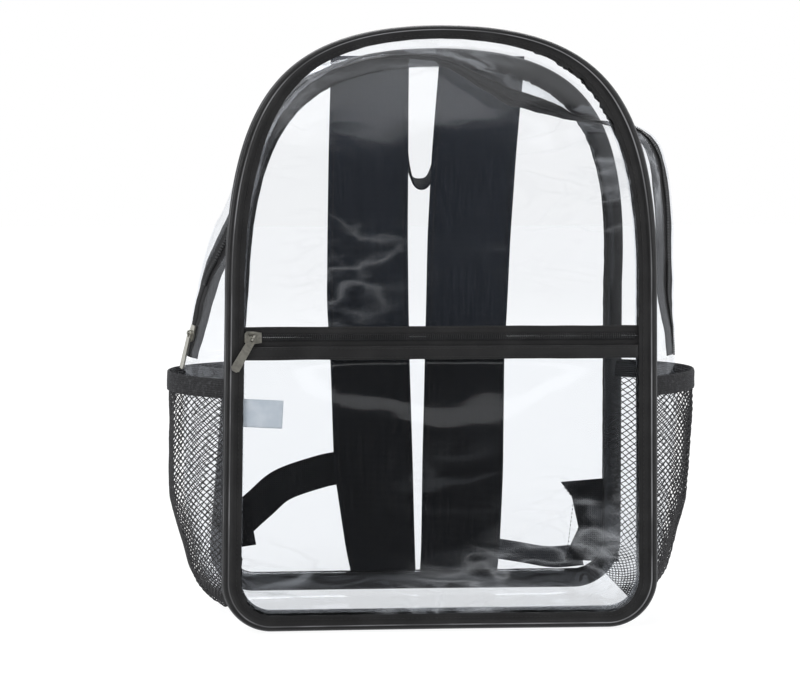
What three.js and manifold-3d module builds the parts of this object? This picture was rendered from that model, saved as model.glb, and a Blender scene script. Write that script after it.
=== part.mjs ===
// A clear vinyl backpack with black bound seams, a zipped front pocket, two side net pockets and two
// flat shoulder straps. Millimetres, +Z up, front towards -Y, standing on its flat bottom.
import * as THREE from "three";
import { mergeVertices } from "three/addons/utils/BufferGeometryUtils.js";
import Module from "manifold-3d";

const wasm = await Module();
wasm.setup();

// Driving sizes of the bag's body
const bagDepth = 124;
const frontBaseWidth = 314;
const frontShoulderWidth = 308;
const frontHeight = 430;
const backBaseWidth = 322;
const backShoulderWidth = 304;
const backHeight = 420;
const backSway = 16;
const swayPivot = 0.35;
const shoulderHeight = 240;
const sideSeamHeight = 188;
const cornerRadius = 36;
const archFullness = 0.74;

// Sheet, tape and fit
const vinylWall = 1;
const bindingWall = 1;
const bindingWidth = 14;
const seamSetIn = 3;
const pocketRoom = 1.4;
const clearance = 0.3;

// Front pocket
const pocketZipHeight = 211;
const pocketBulge = 10;
const pocketBandHeight = 9.4;
const pocketEdgeDrop = 1.2;
const labelWidth = 38;
const labelHeight = 20;
const labelCentreHeight = 157;
const labelTurn = THREE.MathUtils.degToRad(3);

// Zippers
const tapeWall = 1;
const coilWidth = 4.4;
const coilRise = 0.6;
const mainTapeReach = 13;
const mainTapeShow = 4.3;
const pocketTapeReach = 6.5;

// Slider and pull
const sliderLength = 12;
const sliderWideEnd = 9;
const sliderNarrowEnd = 7;
const sliderChamfer = 1.5;
const sliderTop = 1.2;
const sliderBase = 0.8;
const sliderPost = 2.4;
const postRoom = 0.6;
const bailInner = 1.3;
const bailBar = 1;
const bailWidth = 1.4;
const pullLift = 1.2;
const pullLength = 27;
const pullWall = 1.2;
const pullNeck = 5.4;
const pullTail = 6.6;
const pullHang = THREE.MathUtils.degToRad(60);
const mainSliderRise = 19;

// Side net pockets
const netWall = 1;
const netRoom = 9;
const netSeat = 1;
const elasticWall = 1.5;
const elasticTop = 175;
const elasticHeight = 14;

// Straps and webbing
const strapWidth = 64;
const strapWall = 4;
const strapStand = 14;
const webbingWidth = 26;
const webbingWall = 1.5;
const loopWidth = 20;
const loopWall = 2;
const loopSpan = 24;
const loopStand = 18;
const wingWall = 1.5;
const lockLength = 34;
const lockWidth = 22;
const lockWall = 4;

// Layers from the front face to the back face, each worked out from the one before it
const frontFace = -bagDepth / 2;
const pocketLayer = frontFace + bindingWall + clearance;
const frontPanelLayer = pocketLayer + vinylWall + pocketRoom;
const frontFlange = frontPanelLayer + vinylWall + clearance;
const frontBindingRear = frontFlange + vinylWall + clearance + bindingWall;
const backFace = bagDepth / 2;
const backPanelRear = backFace - bindingWall - clearance;
const backFlange = backPanelRear - vinylWall - clearance;
const backBindingInner = backFlange - vinylWall - clearance - bindingWall;
const wallInset = bindingWidth + 2 * clearance;

const frontSide = { base: frontBaseWidth, shoulder: frontShoulderWidth, height: frontHeight, sway: 0 };
const backSide = { base: backBaseWidth, shoulder: backShoulderWidth, height: backHeight, sway: backSway };

// Stations count from 0 at the middle of the bottom, up the right side to the top, with the left
// side below zero. Each number is how many steps one stretch of the outline takes.
const bottomSteps = 4;
const cornerSteps = 4;
const pocketSteps = 6;
const seamSteps = 2;
const archSteps = 12;
const stretches = [bottomSteps, cornerSteps, pocketSteps, seamSteps, archSteps];
const seamStation = bottomSteps + cornerSteps + pocketSteps;
const topStation = seamStation + seamSteps + archSteps;

// How far the crest of the side wall stands out, as a share of the bag's depth, and how it leans. A lean
// of 1 is an even swell with its crest at mid-depth, and a greater one carries the crest towards the back
// seam, as the zipper does above the side seams. The way runs from -1 at the top, down the left side to
// 0 at the bottom, and up the right side to 1 at the top.
const wallBulge = [
  { way: -1, out: 0, lean: 1.5 },
  { way: -0.893, out: 0.09, lean: 2.4 },
  { way: -0.786, out: 0.135, lean: 3 },
  { way: -0.679, out: 0.14, lean: 3 },
  { way: -0.643, out: 0.17, lean: 3 },
  { way: -0.571, out: 0.3, lean: 1.6 },
  { way: -0.5, out: 0.355, lean: 1.3 },
  { way: -0.465, out: 0.346, lean: 1 },
  { way: -0.357, out: 0.32, lean: 1 },
  { way: -0.286, out: 0.22, lean: 1 },
  { way: -0.214, out: 0.13, lean: 1 },
  { way: -0.143, out: 0.19, lean: 1 },
  { way: 0.143, out: 0.19, lean: 1 },
  { way: 0.214, out: 0.13, lean: 1 },
  { way: 0.286, out: 0.22, lean: 1 },
  { way: 0.357, out: 0.3, lean: 1 },
  { way: 0.465, out: 0.345, lean: 1 },
  { way: 0.5, out: 0.36, lean: 1.3 },
  { way: 0.571, out: 0.365, lean: 1.8 },
  { way: 0.643, out: 0.37, lean: 1.8 },
  { way: 0.679, out: 0.35, lean: 1.7 },
  { way: 0.714, out: 0.27, lean: 1.6 },
  { way: 0.75, out: 0.07, lean: 1.5 },
  { way: 0.786, out: -0.07, lean: 1.5 },
  { way: 0.84, out: -0.155, lean: 1.5 },
  { way: 0.893, out: -0.2, lean: 1.5 },
  { way: 0.95, out: -0.13, lean: 1.5 },
  { way: 1, out: 0, lean: 1.5 },
];

// Straps behind the back panel. Heights are shares of the back's height, the middle and the width
// are shares of the strap's width, and the stand is a share of the strap's greatest stand-off.
const strapRows = {
  left: [
    { height: 0.015, middle: -0.44, width: 0.78, stand: 0.4 },
    { height: 0.06, middle: -0.48, width: 0.84, stand: 0.5 },
    { height: 0.22, middle: -0.57, width: 0.97, stand: 0.7 },
    { height: 0.42, middle: -0.61, width: 0.97, stand: 0.95 },
    { height: 0.53, middle: -0.64, width: 1, stand: 1 },
    { height: 0.66, middle: -0.645, width: 0.98, stand: 0.95 },
    { height: 0.8, middle: -0.64, width: 0.97, stand: 0.75 },
    { height: 0.9, middle: -0.64, width: 0.95, stand: 0.4 },
    { height: 0.955, middle: -0.64, width: 0.94, stand: 0 },
    { height: 0.985, middle: -0.64, width: 0.94, stand: 0 },
  ],
  right: [
    { height: 0.015, middle: 0.47, width: 0.95, stand: 0.4 },
    { height: 0.06, middle: 0.5, width: 0.97, stand: 0.5 },
    { height: 0.22, middle: 0.53, width: 1, stand: 0.7 },
    { height: 0.42, middle: 0.55, width: 0.98, stand: 0.95 },
    { height: 0.53, middle: 0.575, width: 1, stand: 1 },
    { height: 0.66, middle: 0.6, width: 1.02, stand: 0.95 },
    { height: 0.8, middle: 0.64, width: 1.03, stand: 0.75 },
    { height: 0.9, middle: 0.68, width: 1.03, stand: 0.4 },
    { height: 0.955, middle: 0.7, width: 1.03, stand: 0 },
    { height: 0.985, middle: 0.71, width: 1.03, stand: 0 },
  ],
};

// Folded tabs at the lower back corners, as shares of half the back's base width and of its height
const wingCorners = {
  left: [
    { across: -0.985, height: 0.075 },
    { across: -0.8, height: 0.085 },
    { across: -0.83, height: 0.15 },
    { across: -0.985, height: 0.175 },
  ],
  right: [
    { across: 0.97, height: 0.045 },
    { across: 0.7, height: 0.05 },
    { across: 0.77, height: 0.11 },
    { across: 0.735, height: 0.17 },
    { across: 0.68, height: 0.197 },
    { across: 0.955, height: 0.205 },
  ],
};

// Middle of each strap's ladder lock, as shares of the back panel's half width and of its height
const lockPlaces = {
  left: { across: -0.24, height: 0.221 },
  right: { across: 0.26, height: 0.062 },
};

// Route of each strap's webbing from its lock to the tab. Across and height are shares of the back
// panel's size, and the depth is a share of how far a strap's rear face can stand off.
const webbingRows = {
  left: [
    { across: -0.3, depth: 0.91, height: 0.221 },
    { across: -0.38, depth: 0.91, height: 0.221 },
    { across: -0.485, depth: 0.88, height: 0.214 },
    { across: -0.67, depth: 0.5, height: 0.193 },
    { across: -0.776, depth: 0.25, height: 0.162 },
    { across: -0.876, depth: 0.16, height: 0.128 },
    { across: -0.93, depth: 0.16, height: 0.105 },
  ],
  right: [
    { across: 0.33, depth: 1.34, height: 0.062 },
    { across: 0.38, depth: 1.34, height: 0.061 },
    { across: 0.5, depth: 1.15, height: 0.055 },
    { across: 0.65, depth: 0.84, height: 0.048 },
    { across: 0.8, depth: 0.79, height: 0.052 },
  ],
};

// Route of the haul loop. Its legs hang behind the straps, sewn over their ends, and only the bottom of
// the U crosses the gap between them. Across is a share of its span, the depth a share of its stand-off,
// and the height a share of the back's height.
const loopRows = [
  { across: -0.66, depth: 0.26, height: 0.98 },
  { across: -0.65, depth: 0.42, height: 0.93 },
  { across: -0.58, depth: 0.7, height: 0.87 },
  { across: -0.46, depth: 0.86, height: 0.825 },
  { across: -0.36, depth: 0.93, height: 0.785 },
  { across: -0.2, depth: 0.95, height: 0.757 },
  { across: 0.05, depth: 0.96, height: 0.75 },
  { across: 0.3, depth: 0.95, height: 0.757 },
  { across: 0.48, depth: 0.93, height: 0.785 },
  { across: 0.58, depth: 0.86, height: 0.825 },
  { across: 0.64, depth: 0.7, height: 0.87 },
  { across: 0.68, depth: 0.42, height: 0.93 },
  { across: 0.68, depth: 0.26, height: 0.98 },
];

/** Value of one column of a table at a place between its rows, along straight lines. */
function alongTable(rows, key, column, at) {
  const next = rows.findIndex((row) => row[key] >= at);
  if (next <= 0) {
    return next === 0 ? rows[0][column] : rows[rows.length - 1][column];
  }
  const low = rows[next - 1];
  const high = rows[next];
  return THREE.MathUtils.mapLinear(at, low[key], high[key], low[column], high[column]);
}

/** Half of a side's width at a height on its straight stretch. */
function halfWidth(side, height) {
  return THREE.MathUtils.mapLinear(height, cornerRadius, shoulderHeight, side.base / 2, side.shoulder / 2);
}

/** The right half of a side's outline, drawn in by inset, one curve for each stretch. */
function outlineCurves(side, inset) {
  const foot = side.base / 2 - inset;
  const seam = halfWidth(side, sideSeamHeight) - inset;
  const shoulder = side.shoulder / 2 - inset;
  const top = side.height - inset;
  const radius = cornerRadius - inset;
  const handle = (top - shoulderHeight) * archFullness;
  const point = (x, z) => new THREE.Vector2(x, z);
  return [
    new THREE.LineCurve(point(0, inset), point(foot - radius, inset)),
    new THREE.EllipseCurve(foot - radius, cornerRadius, radius, radius, -Math.PI / 2, 0),
    new THREE.LineCurve(point(foot, cornerRadius), point(seam, sideSeamHeight)),
    new THREE.LineCurve(point(seam, sideSeamHeight), point(shoulder, shoulderHeight)),
    new THREE.CubicBezierCurve(
      point(shoulder, shoulderHeight),
      point(shoulder, shoulderHeight + handle),
      point(shoulder * archFullness, top),
      point(0, top),
    ),
  ];
}

/** Point of a side's outline at a whole station, drawn in by inset. */
function stationPoint(side, inset, station) {
  let step = Math.abs(station);
  let stretch = 0;
  while (stretch < stretches.length - 1 && step > stretches[stretch]) {
    step -= stretches[stretch];
    stretch += 1;
  }
  const point = outlineCurves(side, inset)[stretch].getPoint(step / stretches[stretch]);
  const x = station < 0 ? -point.x : point.x;
  return new THREE.Vector2(x + side.sway * (point.y / side.height - swayPivot), point.y);
}

/** Point of a side's outline at any station, on the straight line between its whole stations. */
function rimPoint(side, inset, station) {
  const low = Math.floor(station);
  const start = stationPoint(side, inset, low);
  return low === station ? start : start.lerp(stationPoint(side, inset, low + 1), station - low);
}

/** Depth of the side wall's two ends, just clear of the bindings. */
const wallStart = frontBindingRear + clearance;
const wallEnd = backBindingInner - clearance;
const wallSpan = wallEnd - wallStart;

/** Point of the side wall at a whole station, lifted off its outer face. The share runs from the
    front seam to the back seam. The floor flattens what would hang below it. */
function wallStationPoint(station, share, lift) {
  const bulge = bagDepth * alongTable(wallBulge, "way", "out", station / topStation);
  const lean = alongTable(wallBulge, "way", "lean", station / topStation);
  const turn = share ** lean;
  const turning = lean * share ** (lean - 1);
  const atSeam = share <= 0 || share >= 1;
  const slope = atSeam ? 0 : (4 * bulge * (1 - 2 * turn) * turning) / wallSpan;
  const length = Math.hypot(1, slope);
  const out = 4 * bulge * turn * (1 - turn) + lift / length;
  const depth = wallStart + wallSpan * share - (lift * slope) / length;
  const fore = stationPoint(frontSide, wallInset - out, station);
  const point = fore.lerp(stationPoint(backSide, wallInset - out, station), share);
  return new THREE.Vector3(point.x, depth, Math.max(point.y, -Math.min(lift, 0)));
}

/** Point of the side wall at any station, on the straight line between its whole stations. */
function wallPoint(station, share, lift) {
  const low = Math.floor(station);
  const start = wallStationPoint(low, share, lift);
  return low === station ? start : start.lerp(wallStationPoint(low + 1, share, lift), station - low);
}

/** Geometry with its faces turned outwards, whichever way its points were placed. */
function facingOut(geometry) {
  const merged = geometry.clone();
  merged.deleteAttribute("normal");
  merged.deleteAttribute("uv");
  const solid = mergeVertices(merged, 1e-4);
  const position = solid.getAttribute("position");
  const index = solid.getIndex();
  const corners = [new THREE.Vector3(), new THREE.Vector3(), new THREE.Vector3()];
  const faces = [];
  let volume = 0;
  for (let start = 0; start < index.count; start += 3) {
    const face = [index.getX(start), index.getX(start + 1), index.getX(start + 2)];
    if (new Set(face).size === 3) {
      faces.push(face);
      corners.forEach((corner, k) => corner.fromBufferAttribute(position, face[k]));
      volume += corners[0].dot(corners[1].clone().cross(corners[2]));
    }
  }
  solid.setIndex(faces.flatMap((face) => (volume > 0 ? face : [face[0], face[2], face[1]])));
  solid.computeVertexNormals();
  return solid;
}

/** Splits the squares of a box's rear face along the same diagonals as those of its front face. */
function matchDiagonals(box) {
  const index = box.getIndex();
  const rear = box.groups[5];
  for (let start = rear.start; start < rear.start + rear.count; start += 6) {
    const [a, b, d, , c] = [0, 1, 2, 3, 4].map((k) => index.getX(start + k));
    [a, b, c, a, c, d].forEach((corner, k) => index.setX(start + k, corner));
  }
}

/** A sheet of columns by rows whose point (column, row, face) is placed by a function. Face 0 is
    the outer face and face 1 the inner one, and both bend alike, so the wall keeps its thickness. */
function sheet(columns, rows, place) {
  const geometry = new THREE.BoxGeometry(1, 1, 1, columns, rows, 1);
  matchDiagonals(geometry);
  const position = geometry.getAttribute("position");
  for (let k = 0; k < position.count; k += 1) {
    const column = Math.round((position.getX(k) + 0.5) * columns);
    const row = Math.round((position.getY(k) + 0.5) * rows);
    const point = place(column, row, position.getZ(k) > 0 ? 0 : 1);
    position.setXYZ(k, point.x, point.y, point.z);
  }
  return facingOut(geometry);
}

/** A body turned round a side's outline. Each row of the profile gives a share of the way from the
    middle of the side, an inset from its edge and a depth. */
function round(side, profile) {
  const segments = 2 * topStation;
  const lathe = new THREE.LatheGeometry(
    profile.map((row) => new THREE.Vector2(row.share, row.depth)),
    segments,
  );
  const position = lathe.getAttribute("position");
  const uv = lathe.getAttribute("uv");
  const middle = new THREE.Vector2(0, side.height / 2);
  for (let k = 0; k < position.count; k += 1) {
    const turn = Math.round(uv.getX(k) * segments) % segments;
    const row = profile[Math.round(uv.getY(k) * (profile.length - 1))];
    const rim = stationPoint(side, row.inset, turn > topStation ? turn - segments : turn);
    const point = middle.clone().lerp(rim, row.share);
    position.setXYZ(k, point.x, row.depth, point.y);
  }
  return facingOut(lathe);
}

/** A strip of sheet that follows a curve, with a fixed direction across it or one from a function. */
function ribbon(curve, steps, width, wall, acrossAt) {
  return sheet(1, steps, (column, row, face) => {
    const share = row / steps;
    const along = curve.getTangent(share);
    const across = acrossAt(along).normalize();
    const out = along.clone().cross(across).normalize();
    const point = curve.getPoint(share);
    point.addScaledVector(across, (column - 0.5) * width);
    return point.addScaledVector(out, (face - 0.5) * wall);
  });
}

/** One solid from several geometries that overlap. */
function fused(geometries) {
  const solids = geometries.map((geometry) => {
    const ready = facingOut(geometry);
    const mesh = new wasm.Mesh({
      numProp: 3,
      vertProperties: new Float32Array(ready.getAttribute("position").array),
      triVerts: new Uint32Array(ready.getIndex().array),
    });
    return new wasm.Manifold(mesh);
  });
  const whole = solids.reduce((sum, solid) => sum.add(solid)).getMesh();
  const geometry = new THREE.BufferGeometry();
  geometry.setAttribute("position", new THREE.BufferAttribute(new Float32Array(whole.vertProperties), 3));
  geometry.setIndex(new THREE.BufferAttribute(new Uint32Array(whole.triVerts), 1));
  geometry.computeVertexNormals();
  return geometry;
}

const looks = {
  vinyl: { color: 0xf4f6f9, roughness: 0.08, metalness: 0 },
  binding: { color: 0x231f20, roughness: 0.5, metalness: 0 },
  tape: { color: 0x231f20, roughness: 0.8, metalness: 0 },
  webbing: { color: 0x262b34, roughness: 0.85, metalness: 0 },
  net: { color: 0x1c1c1e, roughness: 0.8, metalness: 0 },
  plastic: { color: 0x1a1a1c, roughness: 0.5, metalness: 0 },
  metal: { color: 0x6e6a60, roughness: 0.4, metalness: 0.9 },
  label: { color: 0xc8cfd4, roughness: 0.8, metalness: 0 },
};

const bag = new THREE.Group();

/** Adds one named piece to the bag. */
function add(name, look, geometry) {
  const mesh = new THREE.Mesh(geometry, new THREE.MeshStandardMaterial(looks[look]));
  mesh.name = name;
  bag.add(mesh);
  return mesh;
}

// Flat vinyl panels, held by their rims in the bindings
function panel(side, near) {
  const far = near + vinylWall;
  return round(side, [
    { share: 0, inset: wallInset, depth: near },
    { share: 1, inset: wallInset, depth: near },
    { share: 1, inset: seamSetIn, depth: near },
    { share: 1, inset: seamSetIn, depth: far },
    { share: 1, inset: wallInset, depth: far },
    { share: 0, inset: wallInset, depth: far },
  ]);
}

add("front_panel", "vinyl", panel(frontSide, frontPanelLayer));
add("back_panel", "vinyl", panel(backSide, backPanelRear - vinylWall));

// Tape folded over each seam, open towards the middle of the panel
function binding(side, near, far) {
  return round(side, [
    { share: 1, inset: bindingWidth, depth: near },
    { share: 1, inset: 0, depth: near },
    { share: 1, inset: 0, depth: far },
    { share: 1, inset: bindingWidth, depth: far },
    { share: 1, inset: bindingWidth, depth: far - bindingWall },
    { share: 1, inset: bindingWall, depth: far - bindingWall },
    { share: 1, inset: bindingWall, depth: near + bindingWall },
    { share: 1, inset: bindingWidth, depth: near + bindingWall },
    { share: 1, inset: bindingWidth, depth: near },
  ]);
}

add("front_binding", "binding", binding(frontSide, frontFace, frontBindingRear));
add("back_binding", "binding", binding(backSide, backBindingInner, backFace));

// Side wall: a flange under each binding, a straight step past it, then the bulged sheet
const lowerShares = [0, 0.1, 0.22, 0.36, 0.5, 0.64, 0.78, 0.9, 1];
const tapeShare = 0.5 - mainTapeReach / wallSpan;
const stripEnd = 0.5 - (coilWidth / 2 + mainTapeShow) / wallSpan;
const tapeEnd = 0.5 - (coilWidth / 2 + clearance) / wallSpan;
const coilShare = 0.5 - coilWidth / 2 / wallSpan;
const stripShares = [0, 0.06, 0.14, 0.25, tapeShare, stripEnd];

/** Flange points of the wall at one seam, from the sewn edge to the fold. */
function flangePoint(side, station, fold, depth, wall, face) {
  const inset = fold ? wallInset + face * vinylWall : seamSetIn;
  const rim = rimPoint(side, inset, station);
  return new THREE.Vector3(rim.x, depth + (1 - face) * wall, rim.y);
}

/** A length of side wall between two lists of stations and shares of its depth. */
function sideWall(stations, shares, foreFlange, backFlangeToo) {
  const fore = foreFlange ? 2 : 0;
  const rows = fore + shares.length + (backFlangeToo ? 2 : 0);
  return sheet(stations.length - 1, rows - 1, (column, row, face) => {
    const station = stations[column];
    if (row < fore) {
      return flangePoint(frontSide, station, row === 1, frontFlange, vinylWall, face);
    }
    const place = row - fore;
    if (place >= shares.length) {
      const fold = place === shares.length;
      return flangePoint(backSide, station, fold, backFlange, -vinylWall, face);
    }
    return wallPoint(station, shares[place], -face * vinylWall);
  });
}

/** Stations from one end to the other, with every whole station between them. */
function stationsBetween(start, end) {
  const inner = [];
  for (let station = Math.floor(start) + 1; station < end; station += 1) {
    inner.push(station);
  }
  return [start, ...inner, end];
}

const stationStep = (sideSeamHeight - cornerRadius) / pocketSteps;
const seamGap = clearance / stationStep;
const lowerStations = stationsBetween(-seamStation, seamStation);
const upperStart = seamStation + seamGap;
const upperStations = stationsBetween(upperStart, 2 * topStation - upperStart).map((station) =>
  station > topStation ? station - 2 * topStation : station,
);

const mirrored = (shares) => shares.map((share) => 1 - share).reverse();

add("lower_gusset", "vinyl", sideWall(lowerStations, lowerShares, true, true));
add("upper_gusset_front", "vinyl", sideWall(upperStations, stripShares, true, false));
add("upper_gusset_back", "vinyl", sideWall(upperStations, mirrored(stripShares), false, true));

// Main zipper along the middle of the upper side wall
const tapeLift = -(vinylWall + 2 * clearance);
const tapeShares = [tapeShare, stripEnd, tapeEnd];

/** A length of tape under the edge of a vinyl strip. */
function wallTape(shares) {
  return sheet(upperStations.length - 1, shares.length - 1, (column, row, face) =>
    wallPoint(upperStations[column], shares[row], tapeLift - face * tapeWall),
  );
}

add("main_zipper_tape_front", "tape", wallTape(tapeShares));
add("main_zipper_tape_back", "tape", wallTape(mirrored(tapeShares)));

const mainSliderStation = -(seamStation + mainSliderRise / stationStep);
const lowerSlide = wallPoint(Math.ceil(mainSliderStation), 0.5, tapeLift + coilRise);
const upperSlide = wallPoint(Math.floor(mainSliderStation), 0.5, tapeLift + coilRise);
const slideLength = upperSlide.distanceTo(lowerSlide);
const coilSetBack = sliderLength / 2 - sliderPost - clearance - postRoom;
const coilEnd = 2 * topStation + mainSliderStation + coilSetBack / slideLength;
const coilStations = stationsBetween(upperStart, coilEnd);
const coilShares = [coilShare, 1 - coilShare];

add(
  "main_zipper_coil",
  "tape",
  sheet(coilStations.length - 1, 1, (column, row, face) => {
    const along = coilStations[column];
    const station = along > topStation ? along - 2 * topStation : along;
    return wallPoint(station, coilShares[row], tapeLift + (face === 0 ? coilRise : -tapeWall));
  }),
);

// Front pocket: its panel, zipper, top band and label
const bandTop = pocketZipHeight - pocketTapeReach;
const bandBottom = bandTop - pocketBandHeight;
const pocketTop = bandTop - pocketEdgeDrop;

/** Half of the front's width at a height, drawn in by inset, with the bottom corners rounded. */
function frontHalf(height, inset) {
  const radius = cornerRadius - inset;
  const drop = Math.min(Math.max(cornerRadius - height, 0), radius);
  const straight = halfWidth(frontSide, Math.max(height, cornerRadius)) - cornerRadius;
  return straight + Math.sqrt(radius * radius - drop * drop);
}

/** The pocket panel, flat at its sewn edges and bulged forward between them. */
function pocketPanel() {
  const domeTop = bandBottom - seamSetIn;
  const domeHeight = domeTop - wallInset;
  const domeShares = [0.22, 0.42, 0.62, 0.82];
  const inner = domeShares.map((share) => wallInset + share * domeHeight);
  const heights = [seamSetIn, wallInset, ...inner, domeTop, pocketTop];
  const spread = [-1, -0.65, -0.22, 0.22, 0.65, 1];
  return sheet(spread.length + 1, heights.length - 1, (column, row, face) => {
    const height = heights[row];
    const atEdge = column === 0 || column === spread.length + 1;
    const share = atEdge ? Math.sign(column - 1) : spread[column - 1];
    const x = share * frontHalf(height, atEdge ? seamSetIn : wallInset);
    const up = Math.min(Math.max((height - wallInset) / domeHeight, 0), 1);
    const dome = atEdge ? 0 : pocketBulge * 4 * up * (1 - up) * (1 - share * share);
    return new THREE.Vector3(x, pocketLayer - dome + face * vinylWall, height);
  });
}

/** A flat strip across the front between two heights. */
function frontStrip(left, right, low, high, depth, wall) {
  const geometry = new THREE.BoxGeometry(right - left, wall, high - low);
  return facingOut(geometry.translate((left + right) / 2, depth + wall / 2, (low + high) / 2));
}

const tapeHalf = frontHalf(shoulderHeight, seamSetIn);
const openHalf = frontHalf(shoulderHeight, bindingWidth + clearance);
const tapeNear = coilWidth / 2 + clearance;
const zipX = -openHalf + sliderLength / 2;
const zipFace = pocketLayer - coilRise;

/** One half of the pocket zipper's tape, between two heights. */
function pocketTape(low, high) {
  return frontStrip(-tapeHalf, tapeHalf, low, high, pocketLayer, tapeWall);
}

add("pocket_panel", "vinyl", pocketPanel());
add(
  "pocket_zipper_tape_upper",
  "tape",
  pocketTape(pocketZipHeight + tapeNear, pocketZipHeight + pocketTapeReach),
);
add(
  "pocket_zipper_tape_lower",
  "tape",
  pocketTape(pocketTop + clearance, pocketZipHeight - tapeNear),
);
add(
  "pocket_zipper_coil",
  "tape",
  frontStrip(
    zipX - coilSetBack,
    openHalf,
    pocketZipHeight - coilWidth / 2,
    pocketZipHeight + coilWidth / 2,
    zipFace,
    coilRise + tapeWall,
  ),
);
add(
  "pocket_top_binding",
  "binding",
  frontStrip(-openHalf, openHalf, bandBottom, bandTop, frontFace, bindingWall),
);

const labelWall = pocketRoom - 2 * clearance;
const labelMesh = add("label", "label", facingOut(new THREE.BoxGeometry(labelWidth, labelWall, labelHeight)));
labelMesh.position.set(
  labelWidth / 2 - tapeHalf + clearance,
  frontPanelLayer - clearance - labelWall / 2,
  labelCentreHeight,
);
labelMesh.rotation.y = labelTurn;

// Sliders and pulls, drawn with X along the coil towards its closed end and Z off its face

/** A slider's plate, wide over the post and narrow over the closed coil. */
function sliderPlate(low, wall) {
  const half = sliderLength / 2;
  const shape = new THREE.Shape();
  shape.moveTo(-half, -sliderWideEnd / 2 + sliderChamfer);
  shape.lineTo(-half + sliderChamfer, -sliderWideEnd / 2);
  shape.lineTo(0, -sliderWideEnd / 2);
  shape.lineTo(half, -sliderNarrowEnd / 2);
  shape.lineTo(half, sliderNarrowEnd / 2);
  shape.lineTo(0, sliderWideEnd / 2);
  shape.lineTo(-half + sliderChamfer, sliderWideEnd / 2);
  shape.lineTo(-half, sliderWideEnd / 2 - sliderChamfer);
  return new THREE.ExtrudeGeometry(shape, { depth: wall, bevelEnabled: false }).translate(0, 0, low);
}

/** The arch that the pull hangs on, turned towards the way the pull hangs. */
function bail(turn, pullCentre) {
  const outer = bailInner + bailBar;
  const leg = pullLift + sliderTop / 2;
  const shape = new THREE.Shape();
  shape.moveTo(-outer, -leg);
  shape.lineTo(-outer, 0);
  shape.absarc(0, 0, outer, Math.PI, 0, true);
  shape.lineTo(outer, -leg);
  shape.lineTo(bailInner, -leg);
  shape.lineTo(bailInner, 0);
  shape.absarc(0, 0, bailInner, 0, Math.PI, false);
  shape.lineTo(-bailInner, -leg);
  const arch = new THREE.ExtrudeGeometry(shape, { depth: bailWidth, bevelEnabled: false, curveSegments: 6 });
  arch.translate(0, 0, -bailWidth / 2).rotateX(Math.PI / 2).rotateZ(turn);
  return arch.translate(0, 0, pullCentre);
}

/** A zip slider with its bail, with some play between its plates and the coil. */
function slider(turn, play) {
  const plateTop = play + sliderTop;
  const baseTop = -(coilRise + tapeWall + play);
  const postHeight = plateTop - baseTop + sliderBase;
  const postWidth = coilWidth - 2 * clearance;
  const post = new THREE.BoxGeometry(sliderPost, postWidth, postHeight - 2 * clearance);
  post.translate((sliderPost - sliderLength) / 2 + clearance, 0, (plateTop + baseTop - sliderBase) / 2);
  const plates = [sliderPlate(play, sliderTop), sliderPlate(baseTop - sliderBase, sliderBase)];
  return fused([...plates, post, bail(turn, plateTop + pullLift)]);
}

/** A pull tab along X with its eye round the bail. */
function pull() {
  const bar = bailBar / 2;
  const eyeEnd = bailInner + 2 * bailBar;
  const eyeHalf = bailWidth / 2 + bailBar / 2;
  const shape = new THREE.Shape();
  shape.moveTo(-bar, -pullNeck / 3);
  shape.lineTo(bar, -pullNeck / 2);
  shape.lineTo(pullLength - pullTail / 4, -pullTail / 2);
  shape.lineTo(pullLength, -pullTail / 4);
  shape.lineTo(pullLength, pullTail / 4);
  shape.lineTo(pullLength - pullTail / 4, pullTail / 2);
  shape.lineTo(bar, pullNeck / 2);
  shape.lineTo(-bar, pullNeck / 3);
  const eye = new THREE.Path();
  eye.moveTo(bar, -eyeHalf);
  eye.lineTo(bar, eyeHalf);
  eye.lineTo(eyeEnd, eyeHalf);
  eye.lineTo(eyeEnd, -eyeHalf);
  shape.holes.push(eye);
  const tab = new THREE.ExtrudeGeometry(shape, { depth: pullWall, bevelEnabled: false });
  return facingOut(tab.translate(0, 0, -pullWall / 2));
}

/** A slider and its pull on a zip whose coil runs along one direction with another off its face. */
function zipHead(name, place, along, off, turn, play) {
  const head = new THREE.Group();
  const basis = new THREE.Matrix4().makeBasis(along, off.clone().cross(along), off);
  head.position.copy(place);
  head.quaternion.setFromRotationMatrix(basis);
  const pullMesh = add(`${name}_pull`, "metal", pull());
  pullMesh.position.z = play + sliderTop + pullLift;
  pullMesh.rotation.z = turn;
  head.add(add(`${name}_slider`, "metal", slider(turn, play)), pullMesh);
  bag.add(head);
}

zipHead(
  "pocket",
  new THREE.Vector3(zipX, zipFace, pocketZipHeight),
  new THREE.Vector3(1, 0, 0),
  new THREE.Vector3(0, -1, 0),
  Math.PI + pullHang,
  clearance,
);

const slide = upperSlide.clone().sub(lowerSlide).normalize();
const slidePlace = wallPoint(mainSliderStation, 0.5, tapeLift + coilRise);
const slideOff = wallPoint(mainSliderStation, 0.5, 0).sub(slidePlace).projectOnPlane(slide).normalize();
zipHead(
  "main",
  slidePlace,
  slide,
  slideOff,
  Math.PI,
  2 * clearance,
);

// Side net pockets over the lower side wall, with an elastic sewn over each top edge
const netFoot = bottomSteps + cornerSteps / 2;
const stationAt = (height) => bottomSteps + cornerSteps + (height - cornerRadius) / stationStep;
const elasticBottom = elasticTop - elasticHeight;
const netStations = stationsBetween(netFoot, stationAt(elasticBottom + seamSetIn));
const elasticStations = stationsBetween(stationAt(elasticBottom), stationAt(elasticTop));
// Stations over which the net swings out to its full room
const netFlare = netStations.length / 2;

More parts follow.
